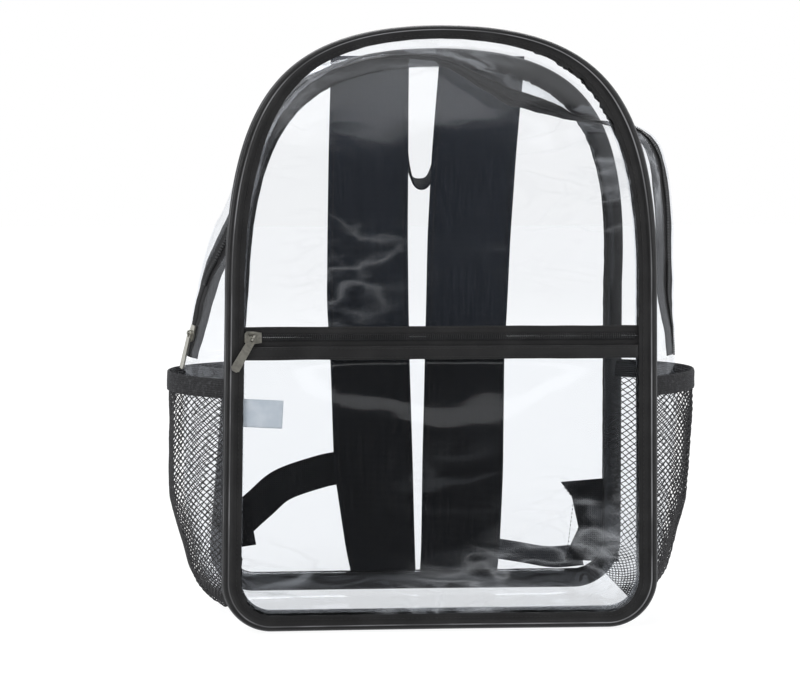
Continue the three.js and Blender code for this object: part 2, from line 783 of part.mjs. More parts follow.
/** A band round the side wall that stands off it to leave the pocket open. */
function netSheet(stations, sign, base, wall) {
  return sheet(stations.length - 1, lowerShares.length - 1, (column, row, face) => {
    const share = lowerShares[row];
    const grow = Math.min(1, (stations[column] - netFoot) / netFlare);
    const lift = base + netRoom * grow * 4 * share * (1 - share);
    return wallPoint(sign * stations[column], share, lift + (1 - face) * wall);
  });
}

for (const [name, sign] of [["left", -1], ["right", 1]]) {
  add(`side_net_${name}`, "net", netSheet(netStations, sign, netSeat, netWall));
  add(
    `net_elastic_${name}`,
    "webbing",
    netSheet(elasticStations, sign, netSeat + netWall + clearance, elasticWall),
  );
}

// Shoulder straps behind the back panel, each sewn at the top and tied by webbing at the bottom
const rear = backFace + clearance;
const strapRearStand = strapStand + strapWall;
const webbingSteps = 10;
// The left webbing lies flat towards the corner, and the right one is turned on its edge.
const webbingTilt = { left: 0, right: THREE.MathUtils.degToRad(64) };

/** Depth of a strap's rear face at a share of the back's height. */
function strapRear(rows, height) {
  return rear + strapStand * alongTable(rows, "height", "stand", height) + strapWall;
}

/** Place behind the back panel from shares of its half width and height, and a depth. */
function behindBack(across, depth, height) {
  return new THREE.Vector3((across * backBaseWidth) / 2, depth, height * backHeight);
}

function shoulderStrap(rows) {
  return sheet(1, rows.length - 1, (column, row, face) => {
    const place = rows[row];
    const x = strapWidth * (place.middle + (column - 0.5) * place.width);
    const depth = rear + strapStand * place.stand + (1 - face) * strapWall;
    return new THREE.Vector3(x, depth, place.height * backHeight);
  });
}

/** A ladder lock: three bars between two rails, behind the strap that hides it. */
function ladderLock() {
  const bar = (width, length, x, z) =>
    new THREE.BoxGeometry(width, lockWall, length).translate(x, lockWall / 2, z);
  const edge = (lockWidth - lockWall) / 2;
  const end = (lockLength - lockWall) / 2;
  return fused([
    bar(lockWall, lockLength, -edge, 0),
    bar(lockWall, lockLength, 0, 0),
    bar(lockWall, lockLength, edge, 0),
    bar(lockWidth, lockWall, 0, -end),
    bar(lockWidth, lockWall, 0, end),
  ]);
}

/** A sewn tab flat against the back binding. */
function wing(corners) {
  const shape = new THREE.Shape();
  corners.forEach((corner, k) => {
    const place = behindBack(corner.across, 0, corner.height);
    shape[k === 0 ? "moveTo" : "lineTo"](place.x, place.z);
  });
  const tab = new THREE.ExtrudeGeometry(shape, { depth: wingWall, bevelEnabled: false });
  return facingOut(tab.rotateX(Math.PI / 2).translate(0, rear + wingWall, 0));
}

/** Route of a strap's webbing from its lock to the tab, through the rows of a table. */
function webbingRoute(lock, rows) {
  const depthAt = (row) => rear + row.depth * strapRearStand;
  const start = lock.clone();
  start.x += Math.sign(rows[0].across) * (lockWidth / 2 + 2 * clearance);
  start.y = depthAt(rows[0]);
  const rest = rows.slice(1).map((row) => behindBack(row.across, depthAt(row), row.height));
  return new THREE.CatmullRomCurve3([start, ...rest]);
}

for (const [name, { across, height }] of Object.entries(lockPlaces)) {
  const rows = strapRows[name];
  const sign = Math.sign(across);
  const lockTop = height + lockLength / 2 / backHeight;
  const lock = behindBack(across, strapRear(rows, lockTop) + clearance, height);
  add(`shoulder_strap_${name}`, "webbing", shoulderStrap(rows));
  add(`ladder_lock_${name}`, "plastic", ladderLock()).position.copy(lock);
  add(`strap_wing_${name}`, "webbing", wing(wingCorners[name]));
  const route = webbingRoute(lock, webbingRows[name]);
  const tilt = webbingTilt[name];
  const lay = new THREE.Vector3(0, Math.sin(tilt), Math.cos(tilt));
  const flatAcross = (along) => along.clone().cross(new THREE.Vector3(0, sign, 0));
  const acrossAt = (along) => (tilt > 0 ? lay.clone() : flatAcross(along));
  const webbing = ribbon(route, webbingSteps, webbingWidth, webbingWall, acrossAt);
  add(`strap_webbing_${name}`, "webbing", webbing);
}

// Haul loop: a short length of webbing that hangs in a U from the top seam, between the straps
const loopRoute = new THREE.CatmullRomCurve3(
  loopRows.map((row) => {
    const place = behindBack(0, rear + loopWidth / 2 + row.depth * loopStand, row.height);
    place.x = row.across * loopSpan;
    return place;
  }),
);
const loopSteps = 16;
const depthways = () => new THREE.Vector3(0, 1, 0);
add("haul_loop", "webbing", ribbon(loopRoute, loopSteps, loopWidth, loopWall, depthways));

export default bag;
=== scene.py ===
# A clear vinyl backpack with black bound seams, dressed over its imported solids. Metres, +Z up, front
# towards -Y, standing on its flat bottom.
import math

import bpy
import numpy as np
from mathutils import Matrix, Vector, noise


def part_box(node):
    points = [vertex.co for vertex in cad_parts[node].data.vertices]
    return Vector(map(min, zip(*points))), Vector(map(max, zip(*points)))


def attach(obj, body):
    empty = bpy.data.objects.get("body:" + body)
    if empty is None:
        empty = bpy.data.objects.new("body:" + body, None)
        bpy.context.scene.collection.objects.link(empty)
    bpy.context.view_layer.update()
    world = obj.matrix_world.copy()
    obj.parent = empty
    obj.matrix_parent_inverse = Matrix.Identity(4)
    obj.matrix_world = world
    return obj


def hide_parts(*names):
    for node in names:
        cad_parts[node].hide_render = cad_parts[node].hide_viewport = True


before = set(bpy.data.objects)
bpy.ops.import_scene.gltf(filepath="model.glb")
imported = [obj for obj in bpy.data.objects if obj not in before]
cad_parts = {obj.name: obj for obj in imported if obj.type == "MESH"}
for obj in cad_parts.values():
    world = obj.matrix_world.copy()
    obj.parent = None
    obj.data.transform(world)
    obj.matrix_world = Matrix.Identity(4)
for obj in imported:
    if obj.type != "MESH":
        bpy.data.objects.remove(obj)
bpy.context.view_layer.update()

# Camera. It stands a little to the left of the bag and above its middle, as the photographer did. It looks
# slightly down, and its lens is shifted so that the bag sits in the picture as it does in the photograph.
bpy.ops.object.select_all(action="DESELECT")
bpy.ops.object.camera_add(location=(-0.1627, -1.3333, 0.3498))
camera = bpy.context.object
camera.data.lens = 81.9
camera.data.sensor_width = 36
camera.data.shift_x, camera.data.shift_y = 0.12, -0.10
camera.rotation_euler = (math.pi / 2 - 0.0715, 0.0, -0.0509)
bpy.context.scene.camera = camera
bpy.context.scene.view_settings.view_transform = "Standard"

# Front and back panels. Each is one sheet of clear soft vinyl film, half a millimetre thick, cut to
# the arch outline and sewn into the binding all round, so it is nearly flat with a few shallow waves.
FRONT = {"foot": 0.157, "shoulder": 0.154, "top": 0.430, "sway": 0.0}
BACK = {"foot": 0.161, "shoulder": 0.152, "top": 0.420, "sway": 0.016}
CORNER, SEAM, SHOULDER = 0.036, 0.188, 0.240
BOTTOM_STEPS, CORNER_STEPS, SEAM_STEPS, SHOULDER_STEPS, ALL_STEPS = 4, 8, 14, 16, 28
ARCH_ROUNDNESS, SWAY_CENTRE = 0.74, 0.35
FILM, FILM_EDGE = 0.0005, 0.003


def half_width(side, height):
    """Half of a side's width on its straight stretch."""
    lean = (side["shoulder"] - side["foot"]) / (SHOULDER - CORNER)
    return side["foot"] + lean * (height - CORNER)


def rim(side, inset, way):
    """Place of a side's outline, drawn in by inset. The way runs from 0 at the middle of the bottom
    up the right side to 1 at the top, and down to -1 up the left side."""
    step = min(abs(way), 1) * ALL_STEPS
    foot = side["foot"] - inset
    if step <= BOTTOM_STEPS:
        x, z = step / BOTTOM_STEPS * (side["foot"] - CORNER), inset
    elif step <= CORNER_STEPS:
        turn = (step - BOTTOM_STEPS) / (CORNER_STEPS - BOTTOM_STEPS) * math.pi / 2
        radius = CORNER - inset
        x, z = foot - radius + radius * math.sin(turn), CORNER - radius * math.cos(turn)
    elif step <= SHOULDER_STEPS:
        if step <= SEAM_STEPS:
            z = CORNER + (step - CORNER_STEPS) / (SEAM_STEPS - CORNER_STEPS) * (SEAM - CORNER)
        else:
            z = SEAM + (step - SEAM_STEPS) / (SHOULDER_STEPS - SEAM_STEPS) * (SHOULDER - SEAM)
        x = half_width(side, z) - inset
    else:
        t = (step - SHOULDER_STEPS) / (ALL_STEPS - SHOULDER_STEPS)
        top, wide = side["top"] - inset, side["shoulder"] - inset
        x = wide * ((1 - t) ** 3 + 3 * t * (1 - t) ** 2 + 3 * ARCH_ROUNDNESS * t * t * (1 - t))
        arch_top = SHOULDER + ARCH_ROUNDNESS * (top - SHOULDER)
        rise = (1 - t) ** 3 * SHOULDER + 3 * t * (1 - t) ** 2 * arch_top
        z = rise + (3 * t * t * (1 - t) + t ** 3) * top
    x = -x if way < 0 else x
    return Vector((x + side["sway"] * (z / side["top"] - SWAY_CENTRE), z))


def dents(point, size, depth):
    """Height of the shallow dents of soft film at a point."""
    spot = Vector(point) / size
    return depth * (noise.noise(spot) + 0.45 * noise.noise(spot * 2.3))


def grid_sheet(name, columns, rows, place):
    """A grid whose points go where place(u, v) says, joined where its edges meet."""
    bpy.ops.object.select_all(action="DESELECT")
    bpy.ops.mesh.primitive_grid_add(x_subdivisions=columns, y_subdivisions=rows, size=2)
    piece = bpy.context.object
    piece.name = piece.data.name = name
    for vertex in piece.data.vertices:
        vertex.co = place(round(vertex.co.x / 2 + 0.5, 6), round(vertex.co.y / 2 + 0.5, 6))
    bpy.ops.object.mode_set(mode="EDIT")
    bpy.ops.mesh.select_all(action="SELECT")
    bpy.ops.mesh.remove_doubles(threshold=1e-6)
    bpy.ops.mesh.normals_make_consistent(inside=False)
    bpy.ops.object.mode_set(mode="OBJECT")
    bpy.ops.object.shade_smooth()
    return piece


def finish_with(piece, kind, **settings):
    """Adds a modifier with its settings and applies it."""
    bpy.context.view_layer.objects.active = piece
    modifier = piece.modifiers.new(kind.title(), kind)
    for key, value in settings.items():
        setattr(modifier, key, value)
    bpy.ops.object.modifier_apply(modifier=modifier.name)


class Wire:
    """A socket in a material. Sums and products of wires add the Math nodes that work them out."""

    def __init__(self, tree, socket=None):
        self.tree = tree
        self.socket = socket

    def node(self, kind, settings=None, inputs=None, out=0):
        """A new node: its settings are set first, then its sockets, and the wire is one output."""
        made = self.tree.nodes.new("ShaderNode" + kind)
        for key, value in (settings or {}).items():
            setattr(made, key, value)
        for key, value in (inputs or {}).items():
            if isinstance(value, Wire):
                self.tree.links.new(value.socket, made.inputs[key])
            else:
                made.inputs[key].default_value = value
        return Wire(self.tree, made.outputs[out] if made.outputs else None)

    def maths(self, operation, *values):
        return self.node("Math", {"operation": operation}, dict(enumerate(values)))

    def __add__(self, other):
        return self.maths("ADD", self, other)

    def __sub__(self, other):
        return self.maths("SUBTRACT", self, other)

    def __rsub__(self, other):
        return self.maths("SUBTRACT", other, self)

    def __mul__(self, other):
        return self.maths("MULTIPLY", self, other)

    def __pow__(self, other):
        return self.maths("POWER", self, other)

    __radd__ = __add__
    __rmul__ = __mul__

    def ease(self, low, high):
        """0 below low, 1 above high, smooth between."""
        limits = {"Value": self, "From Min": low, "From Max": high}
        return self.node("MapRange", {"interpolation_type": "SMOOTHSTEP"}, limits)

    def mottle(self, where, scale, detail=3.0, twist=0.0):
        """Noise from 0 to 1 at a place."""
        sizes = {"Vector": where, "Scale": scale, "Detail": detail, "Distortion": twist}
        return self.node("TexNoise", None, sizes)

    def blend(self, share, low, high):
        """A colour between two."""
        return self.node("Mix", {"data_type": "RGBA"}, {0: share, 6: low, 7: high}, out=2)

    def stretch(self, where, scale, turn=(0, 0, 0)):
        """A place with its axes scaled and turned."""
        return self.node("Mapping", None, {"Vector": where, "Scale": scale, "Rotation": turn})


def new_look(name):
    """An empty material, a wire to add nodes by, and its Object coordinates."""
    look = bpy.data.materials.new(name)
    look.use_nodes = True
    look.node_tree.nodes.clear()
    wire = Wire(look.node_tree)
    return look, wire, wire.node("TexCoord", out="Object")


def clear_film(name, haze, streak, stretch, relief=0.0006):
    """Clear soft vinyl: it lets the light through with a faint cool tint, mirrors a little more at a
    slant, and is hazy where it is creased."""
    look, wire, where = new_look(name)
    folds = wire.mottle(wire.stretch(where, stretch), 14.0, 2.0, 0.8)
    line = wire.maths("MAXIMUM", 1 - wire.maths("ABSOLUTE", folds - 0.5) * 9, 0.0) ** 3
    normal = wire.node("Bump", None, {"Strength": 0.22, "Distance": relief, "Height": folds})
    shine = wire.node("Fresnel", None, {"IOR": 1.34, "Normal": normal})
    through = wire.node("BsdfTransparent", None, {"Color": (0.984, 0.988, 0.993, 1)})
    mirror = wire.node("BsdfGlossy", None, {"Color": (0.96, 0.97, 1, 1), "Roughness": 0.06, "Normal": normal})
    clouded = wire.node("BsdfPrincipled", None, {"Base Color": (0.8, 0.82, 0.85, 1), "Roughness": 0.3})
    share = wire.maths("MINIMUM", shine * 0.5 + 0.008, 0.07)
    film = wire.node("MixShader", None, {0: share, 1: through, 2: mirror})
    patches = wire.mottle(where, 8.0, 0.0).ease(0.5, 0.72)
    film = wire.node("MixShader", None, {0: line * patches * streak + haze, 1: film, 2: clouded})
    lit = wire.node("LightPath", out="Is Shadow Ray")
    film = wire.node("MixShader", None, {0: lit, 1: film, 2: through})
    wire.node("OutputMaterial", None, {"Surface": film})
    return look


def fitted(piece, look, slot, *nodes):
    """Gives a piece its finish and fixes it to the bag, in place of its plain solids."""
    piece.data.materials.clear()
    piece.data.materials.append(look)
    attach(piece, "bag")
    if nodes:
        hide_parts(*nodes)
    return piece


panel_look = clear_film("panel_vinyl", 0.002, 0.06, (1.0, 1.0, 2.4))
PANELS = [("front_panel", FRONT, -0.0578, 0.0009), ("back_panel", BACK, 0.0602, 0.0012)]
for name, side, depth, wave in PANELS:
    def panel_place(u, v):
        edge = rim(side, FILM_EDGE, 2 * u - 1)
        x, z = Vector((0, side["top"] / 2)).lerp(edge, v)
        return Vector((x, depth + dents((x, depth, z), 0.11, wave) * min(1, 4 * (1 - v)), z))

    panel = grid_sheet(f"{name}_film", 168, 26, panel_place)
    finish_with(panel, "SOLIDIFY", thickness=FILM, offset=0)
    fitted(panel, panel_look, "clear_vinyl", name)

# Side wall. A broad strip of the same vinyl runs round the bag between the two seams. It is sewn flat
# to the panels under the bindings and swells between them. Above the side seams its crest leans towards
# the back, so the zipper's face turns forward.

# Each row is the way round the outline, how far the wall swells there and how far its crest leans back.
BULGE = [
    (-1, 0, 1.5), (-0.893, 0.09, 2.4), (-0.786, 0.135, 3), (-0.679, 0.14, 3), (-0.643, 0.17, 3),
    (-0.571, 0.3, 1.6), (-0.5, 0.355, 1.3), (-0.465, 0.346, 1), (-0.357, 0.32, 1), (-0.286, 0.22, 1),
    (-0.214, 0.13, 1), (-0.143, 0.19, 1), (0.143, 0.19, 1), (0.214, 0.13, 1), (0.286, 0.22, 1),
    (0.357, 0.3, 1), (0.465, 0.345, 1), (0.5, 0.36, 1.3), (0.571, 0.365, 1.8), (0.643, 0.37, 1.8),
    (0.679, 0.35, 1.7), (0.714, 0.27, 1.6), (0.75, 0.07, 1.5), (0.786, -0.07, 1.5), (0.84, -0.155, 1.5),
    (0.893, -0.2, 1.5), (0.95, -0.13, 1.5), (1, 0, 1.5),
]
BULGE_WAYS, BULGE_OUT, BULGE_LEAN = zip(*BULGE)
SEAMS_APART, WALL_FRONT, WALL_SPAN, WALL_INSET = 0.124, -0.0544, 0.1112, 0.0146
FRONT_FLANGE = [(FRONT, 0.0035, -0.0564), (FRONT, 0.0138, -0.0564)]
BACK_FLANGE = [(BACK, 0.0138, 0.0587), (BACK, 0.0035, 0.0587)]


def down_left(way):
    """A way between -1 and 1. One past the top goes on down the left side."""
    return way - 2 if way > 1 else way


def wall(way, share, lift=0.0):
    """Place of the side wall. The share runs from the front seam to the back one, and lift stands off
    its outer face."""
    way = down_left(way)
    near = [way - 0.012, way, way + 0.012]
    bulge = SEAMS_APART * sum(np.interp(near, BULGE_WAYS, BULGE_OUT)) / 3
    lean = sum(np.interp(near, BULGE_WAYS, BULGE_LEAN)) / 3
    turn = share ** lean
    slope = 4 * bulge * (1 - 2 * turn) * lean * share ** (lean - 1) / WALL_SPAN
    length = math.hypot(1, slope)
    out = 4 * bulge * turn * (1 - turn) + lift / length
    flat = rim(FRONT, WALL_INSET - out, way).lerp(rim(BACK, WALL_INSET - out, way), share)
    depth = WALL_FRONT + WALL_SPAN * share - lift * slope / length
    return Vector((flat.x, depth, max(flat.y, -min(lift, 0), 0.0003)))


def creases(point, size, depth):
    """Height of sharp creases of soft film at a point."""
    spot = Vector(point) / size
    return depth * (0.35 - abs(noise.noise(spot))) + depth * 0.5 * (0.3 - abs(noise.noise(spot * 2.1)))


def crumple(way, share):
    """How far the side wall's creases lift it. They are deepest beside the left shoulder."""
    way = down_left(way)
    place = (way * 0.62, share * 0.115, 0.3)
    deep = 0.0026 if -0.9 < way < -0.5 else 0.0013
    ends = min(1, 9 * share, 9 * (1 - share))
    return ends * (dents(place, 0.045, 0.0016) + creases(place, 0.03, deep))


def wall_sheet(name, columns, start, end, shares, fore, aft):
    """A length of side wall between two ways, with its sewn flanges at the front and the back."""
    rows = FRONT_FLANGE * fore + list(shares) + BACK_FLANGE * aft

    def place(u, v):
        way = start + (end - start) * u
        row = rows[round(v * (len(rows) - 1))]
        if isinstance(row, tuple):
            side, inset, depth = row
            flat = rim(side, inset, down_left(way))
            return Vector((flat.x, depth, flat.y))
        return wall(way, row, crumple(way, row) - FILM)

    piece = grid_sheet(name, columns, len(rows) - 1, place)
    finish_with(piece, "SOLIDIFY", thickness=FILM, offset=0)
    return piece


wall_look = clear_film("wall_vinyl", 0.003, 0.2, (1.0, 2.6, 1.0), 0.0012)
STRIP_EDGE = 0.5 - 0.0065 / WALL_SPAN
STRIP_START, STRIP_END = 0.5005, 1.4995
lower_wall = wall_sheet("lower_gusset_film", 200, -0.5, 0.5, np.linspace(0, 1, 41), True, True)
fitted(lower_wall, wall_look, "clear_vinyl", "lower_gusset")
front_shares, back_shares = np.linspace(0, STRIP_EDGE, 19), np.linspace(1 - STRIP_EDGE, 1, 19)
front_strip = wall_sheet("upper_strip_front", 260, STRIP_START, STRIP_END, front_shares, True, False)
fitted(front_strip, wall_look, "clear_vinyl", "upper_gusset_front")
back_strip = wall_sheet("upper_strip_back", 260, STRIP_START, STRIP_END, back_shares, False, True)
fitted(back_strip, wall_look, "clear_vinyl", "upper_gusset_back")

# Seam bindings. Black nylon tape is folded over the raw edges of each seam and stitched through. It has a
# pale highlight painted into its colour along its fold and its outer edge, and its cut inner edge is ragged
# where the sewing ran off.


def woven_tape(name, colour, rough, pitch, lint=0.25):
    """Black tape with fine ribs across its own length and a scatter of lint."""
    look, wire, where = new_look(name)
    ribbing = {"Vector": where, "Scale": 0.5 / pitch, "Distortion": 1.5, "Detail": 2.0, "Detail Scale": 3.0}
    ribs = wire.node("TexWave", {"wave_type": "BANDS", "bands_direction": "DIAGONAL"}, ribbing)
    wear_and_painted_sheen = wire.mottle(where, 60.0, 4.0)
    specks = wire.mottle(where, 900.0, 1.0).ease(0.68, 0.8)
    paler = tuple(0.02 + 2.0 * part for part in colour[:3]) + (1,)
    shade = wire.blend(wear_and_painted_sheen.ease(0.35, 0.8) * 0.35 + specks * lint, colour, paler)
    height = ribs * 0.6 + wear_and_painted_sheen * 0.6
    normal = wire.node("Bump", None, {"Strength": 0.5, "Distance": 0.0004, "Height": height})
    body = wire.node("BsdfPrincipled", None, {
        "Base Color": shade, "Roughness": wear_and_painted_sheen * 0.25 + rough, "Normal": normal, "Specular IOR Level": 0.5})
    wire.node("OutputMaterial", None, {"Surface": body})
    return look


# The fold's cross-section in millimetres, as (inset, depth), from the front flap's edge round and back.
FOLD = [
    (14, -61.9), (12, -62.05), (8, -62.0), (6.2, -62.2), (5, -62.9), (3.6, -63.1), (2.3, -62.7),
    (1.2, -61.7), (0.4, -60.2), (0.1, -58.4), (0.4, -56.6), (1.4, -55.2), (3.2, -54.7), (8, -54.6),
    (14, -54.7), (14, -55.5), (8, -55.5), (3.6, -55.6), (2, -56.6), (1.4, -58.4), (2, -60.4), (4, -61.2),
    (8, -61.2), (14, -61.1),
]
# Where the painted highlight lines lie across the tape, as shares of its UV: one on the fold, one on the
# outer edge.
FOLD_SHEEN, EDGE_SHEEN = 0.165, 0.30
CUT_EDGE, DRAWN_IN, BACK_MIRROR = 13, 0.4, 0.9


def bound_tape():
    """The binding's tape: ribbed black, with a grey highlight painted into its colour along its fold and its
    outer edge.
    """
    look = woven_tape("binding_tape", (0.0035, 0.003, 0.0032, 1), 0.3, 0.0007, 0.12)
    wire = Wire(look.node_tree)
    place = wire.node("SeparateXYZ", None, {0: wire.node("TexCoord", out="UV")}, out=1)
    broken = wire.mottle(wire.node("TexCoord", out="Object"), 22.0, 2.0).ease(0.35, 0.65)
    fold = 1 - wire.maths("ABSOLUTE", place - FOLD_SHEEN).ease(0.004, 0.02)
    edge = 1 - wire.maths("ABSOLUTE", place - EDGE_SHEEN).ease(0.004, 0.018)
    body = look.node_tree.nodes["Principled BSDF"]
    base = Wire(look.node_tree, body.inputs["Base Color"].links[0].from_socket)
    # Painted highlight: a pale grey line is mixed into the base colour along the fold and the outer edge,
    # broken up by noise.
    wear_and_painted_sheen = wire.blend((fold * 0.9 + edge * 0.6) * (broken * 0.7 + 0.3), base, (0.26, 0.26, 0.27, 1))
    look.node_tree.links.new(wear_and_painted_sheen.socket, body.inputs["Base Color"])
    return look


WIDTHS = [(-1, 0.66), (-0.85, 0.72), (-0.7, 1), (-0.25, 1), (-0.15, 0.85), (0.15, 0.85), (0.25, 1),
          (0.75, 1), (0.87, 0.75), (1, 0.66)]
binding_look = bound_tape()


def tape_share(way):
    """Share of its full width that the front binding shows. It is rolled back over the top and the bottom."""
    return float(np.interp(way, *zip(*WIDTHS)))


def binding(name, side, turn_depth, ragged):
    """Tape folded over one seam, from the fold's cross-section swept round the outline. Its cut edge is
    torn along the stretches (from, to, how much) in ragged."""
    def place(u, v):
        way = 2 * u - 1
        inset, depth = FOLD[round(v * len(FOLD)) % len(FOLD)]
        spot = Vector((way * 9, v * 2, 3.1))
        if inset > CUT_EDGE:
            tear = sum(torn for low, high, torn in ragged if low < way < high)
            inset += 0.45 * noise.noise(spot * 9) + tear * (noise.noise(spot * 26) + noise.noise(spot * 60))
        inset *= tape_share(way) if side is FRONT else 1
        sway = 0.35 * noise.noise(Vector((way * 7, 1.7, 0)))
        flat = rim(side, (inset + sway + DRAWN_IN) / 1000, way)
        return Vector((flat.x, turn_depth(depth) / 1000, max(flat.y, 0.0002)))

    return fitted(grid_sheet(f"{name}_tape", 420, len(FOLD), place), binding_look, "binding_tape", name)


binding("front_binding", FRONT, lambda depth: depth, [(-0.32, -0.16, 1.5), (0.74, 0.9, 1.5)])
binding("back_binding", BACK, lambda depth: BACK_MIRROR - depth, [(0.7, 0.95, 1.0), (-0.9, -0.8, 0.8)])

# Stitching. Black thread in short even stitches, each one a small bead pulled into the tape. One row runs
# round each binding, near the tape's inner edge, and goes through both of its flaps.


def repeated(name, template, places):
    """One mesh of many copies of a template, each put at (centre, along, out)."""
    points = np.array([vertex.co for vertex in template.data.vertices])
    faces = [list(face.vertices) for face in template.data.polygons]
    all_points, all_faces = [], []
    for centre, along, out in places:
        along, out = along.normalized(), out.normalized()
        across = out.cross(along).normalized()
        axes = np.array([along, across, along.cross(across)])
        all_faces += [[corner + len(points) * len(all_points) for corner in face] for face in faces]
        all_points.append(points @ axes + np.array(centre))
    mesh = bpy.data.meshes.new(name)
    mesh.from_pydata(np.concatenate(all_points).tolist(), [], all_faces)
    piece = bpy.data.objects.new(name, mesh)
    bpy.context.collection.objects.link(piece)
    bpy.context.view_layer.objects.active = piece
    bpy.data.objects.remove(template)
    return piece


def bead(length, width, height):
    """A stitch: a low round bead along X."""
    bpy.ops.object.select_all(action="DESELECT")
    bpy.ops.mesh.primitive_uv_sphere_add(segments=6, ring_count=4, radius=0.5, rotation=(0, math.pi / 2, 0))
    bpy.ops.object.transform_apply(rotation=True)
    for vertex in bpy.context.object.data.vertices:
        vertex.co = Vector((vertex.co.x * length, vertex.co.y * width, vertex.co.z * height))
    return bpy.context.object


def seam_row(line, pitch, off):
    """Places of stitches along a line of points, off their surface in the direction given."""
    line = [Vector(point) for point in line]
    places, spare = [], 0.0
    for start, end in zip(line, line[1:]):
        span = (end - start).length
        while spare < span:
            places.append((start.lerp(end, spare / span), end - start, off(start)))
            spare += pitch
        spare -= span
    return places


STITCH_INSET, STITCH_FRONT, STITCH_BACK = 0.0112, -0.06225, 0.06325
thread_look = woven_tape("thread", (0.012, 0.011, 0.011, 1), 0.5, 0.0004, 0.1)
ways = [step / 300 for step in range(-300, 301)]
front_rim = [rim(FRONT, STITCH_INSET * tape_share(way), way) for way in ways]
back_rim = [rim(BACK, STITCH_INSET, way) for way in ways]
front_line = [(spot.x, STITCH_FRONT, spot.y) for spot in front_rim]
back_line = [(spot.x, STITCH_BACK, spot.y) for spot in back_rim]
for name, line, out in [("front", front_line, Vector((0, -1, 0))), ("back", back_line, Vector((0, 1, 0)))]:
    row = seam_row(line, 0.0034, lambda point: out)
    fitted(repeated(f"{name}_seam_stitches", bead(0.0026, 0.0006, 0.0005), row), thread_look, "binding_tape")

# Main zipper. A black nylon coil zipper is sewn under the two vinyl strips along the middle of the side
# wall, over the top and down to both side seams, so its tape shows grey-blue through the film.
ZIP_START, ZIP_END, COIL_END = 0.503, 1.497, 1.497 - 0.072
TAPE_EDGE, COIL_EDGE = 0.5 - 0.013 / WALL_SPAN, 0.5 - 0.0003 / WALL_SPAN
TAPE_LIFT, TAPE_THICK = -0.0021, 0.0007
COIL_LIFT, COIL_WIDTH, COIL_PITCH = -0.0010, 0.0044, 0.00155
tape_look = woven_tape("zipper_tape", (0.007, 0.0065, 0.007, 1), 0.6, 0.0005)


def wall_tape(name, low, high):
    """Half of the zipper's tape, laid along the side wall between two shares of its depth."""
    def place(u, v):
        way = ZIP_START + (ZIP_END - ZIP_START) * u
        share = low + (high - low) * v
        return wall(way, share, crumple(way, share) + TAPE_LIFT)

    piece = grid_sheet(name, 260, 4, place)
    finish_with(piece, "SOLIDIFY", thickness=TAPE_THICK, offset=0)
    return piece


front_half = wall_tape("main_tape_front", TAPE_EDGE, COIL_EDGE)
fitted(front_half, tape_look, "zipper_tape", "main_zipper_tape_front")
back_half = wall_tape("main_tape_back", 1 - COIL_EDGE, 1 - TAPE_EDGE)
fitted(back_half, tape_look, "zipper_tape", "main_zipper_tape_back")

coil_look = woven_tape("coil_nylon", (0.008, 0.008, 0.009, 1), 0.3, 0.0006, 0.05)


def tooth():
    """One turn of a nylon coil: a rounded bar across the zip."""
    bpy.ops.object.select_all(action="DESELECT")
    bpy.ops.mesh.primitive_cube_add(size=1)
    bar = bpy.context.object
    for vertex in bar.data.vertices:
        vertex.co = Vector((vertex.co.x * 0.00105, vertex.co.y * COIL_WIDTH, vertex.co.z * 0.0013))
    finish_with(bar, "BEVEL", width=0.0003, segments=1)
    return bar


teeth, last = [], None
for step in range(0, 1201):
    way = ZIP_START + (COIL_END - ZIP_START) * step / 1200
    here = wall(way, 0.5, crumple(way, 0.5) + COIL_LIFT)
    if last is None or (here - last).length > COIL_PITCH:
        ahead = wall(way + 0.002, 0.5, crumple(way + 0.002, 0.5) + COIL_LIFT) - here
        teeth.append((here, ahead, wall(way, 0.5, 0.01) - wall(way, 0.5)))
        last = here
fitted(repeated("main_coil_teeth", tooth(), teeth), coil_look, "zipper_coil", "main_zipper_coil")

# Sliders and pulls. Antique gunmetal castings, dark in their hollows and rubbed pale along their edges,
# with fine lengthwise grooves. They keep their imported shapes.


def antique_metal():
    """Cast metal, dark in its hollows and rubbed pale where an edge stands out."""
    look, wire, where = new_look("antique_gunmetal")
    rubbed = wire.mottle(where, 420.0, 5.0, 0.5)
    edges = wire.node("NewGeometry", out="Pointiness").ease(0.49, 0.56)
    wear_and_painted_sheen = (rubbed * 0.8 + edges * 0.6).ease(0.4, 1.1)
    shade = wire.blend(wear_and_painted_sheen, (0.06, 0.055, 0.045, 1), (0.62, 0.6, 0.53, 1))
    normal = wire.node("Bump", None, {"Strength": 0.4, "Distance": 0.0002, "Height": rubbed})
    body = wire.node("BsdfPrincipled", None, {
        "Base Color": shade, "Roughness": rubbed * 0.35 + 0.22, "Metallic": 0.9, "Normal": normal})
    wire.node("OutputMaterial", None, {"Surface": body})
    return look


metal_look = antique_metal()
for name in ("main_slider", "main_pull", "pocket_slider", "pocket_pull"):
    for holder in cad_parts[name].material_slots:
        holder.link = "OBJECT"
        holder.material = metal_look

# Front pocket. A second sheet of vinyl over the lower half, sewn in round three sides and bound along its
# top edge. It stands a little forward in the middle and is creased towards its lower corners.
POCKET_TOP, BAND_LOW, BAND_TOP, ZIP_HEIGHT = 0.2033, 0.1951, 0.2045, 0.211
POCKET_DEPTH, POCKET_DOME = -0.0602, 0.010


def front_half_width(height, inset):
    """Half of the front's width at a height below the shoulder, with the bottom corners rounded."""
    radius = CORNER - inset
    drop = min(max(CORNER - height, 0), radius)
    return half_width(FRONT, max(height, CORNER)) - CORNER + math.sqrt(radius * radius - drop * drop)


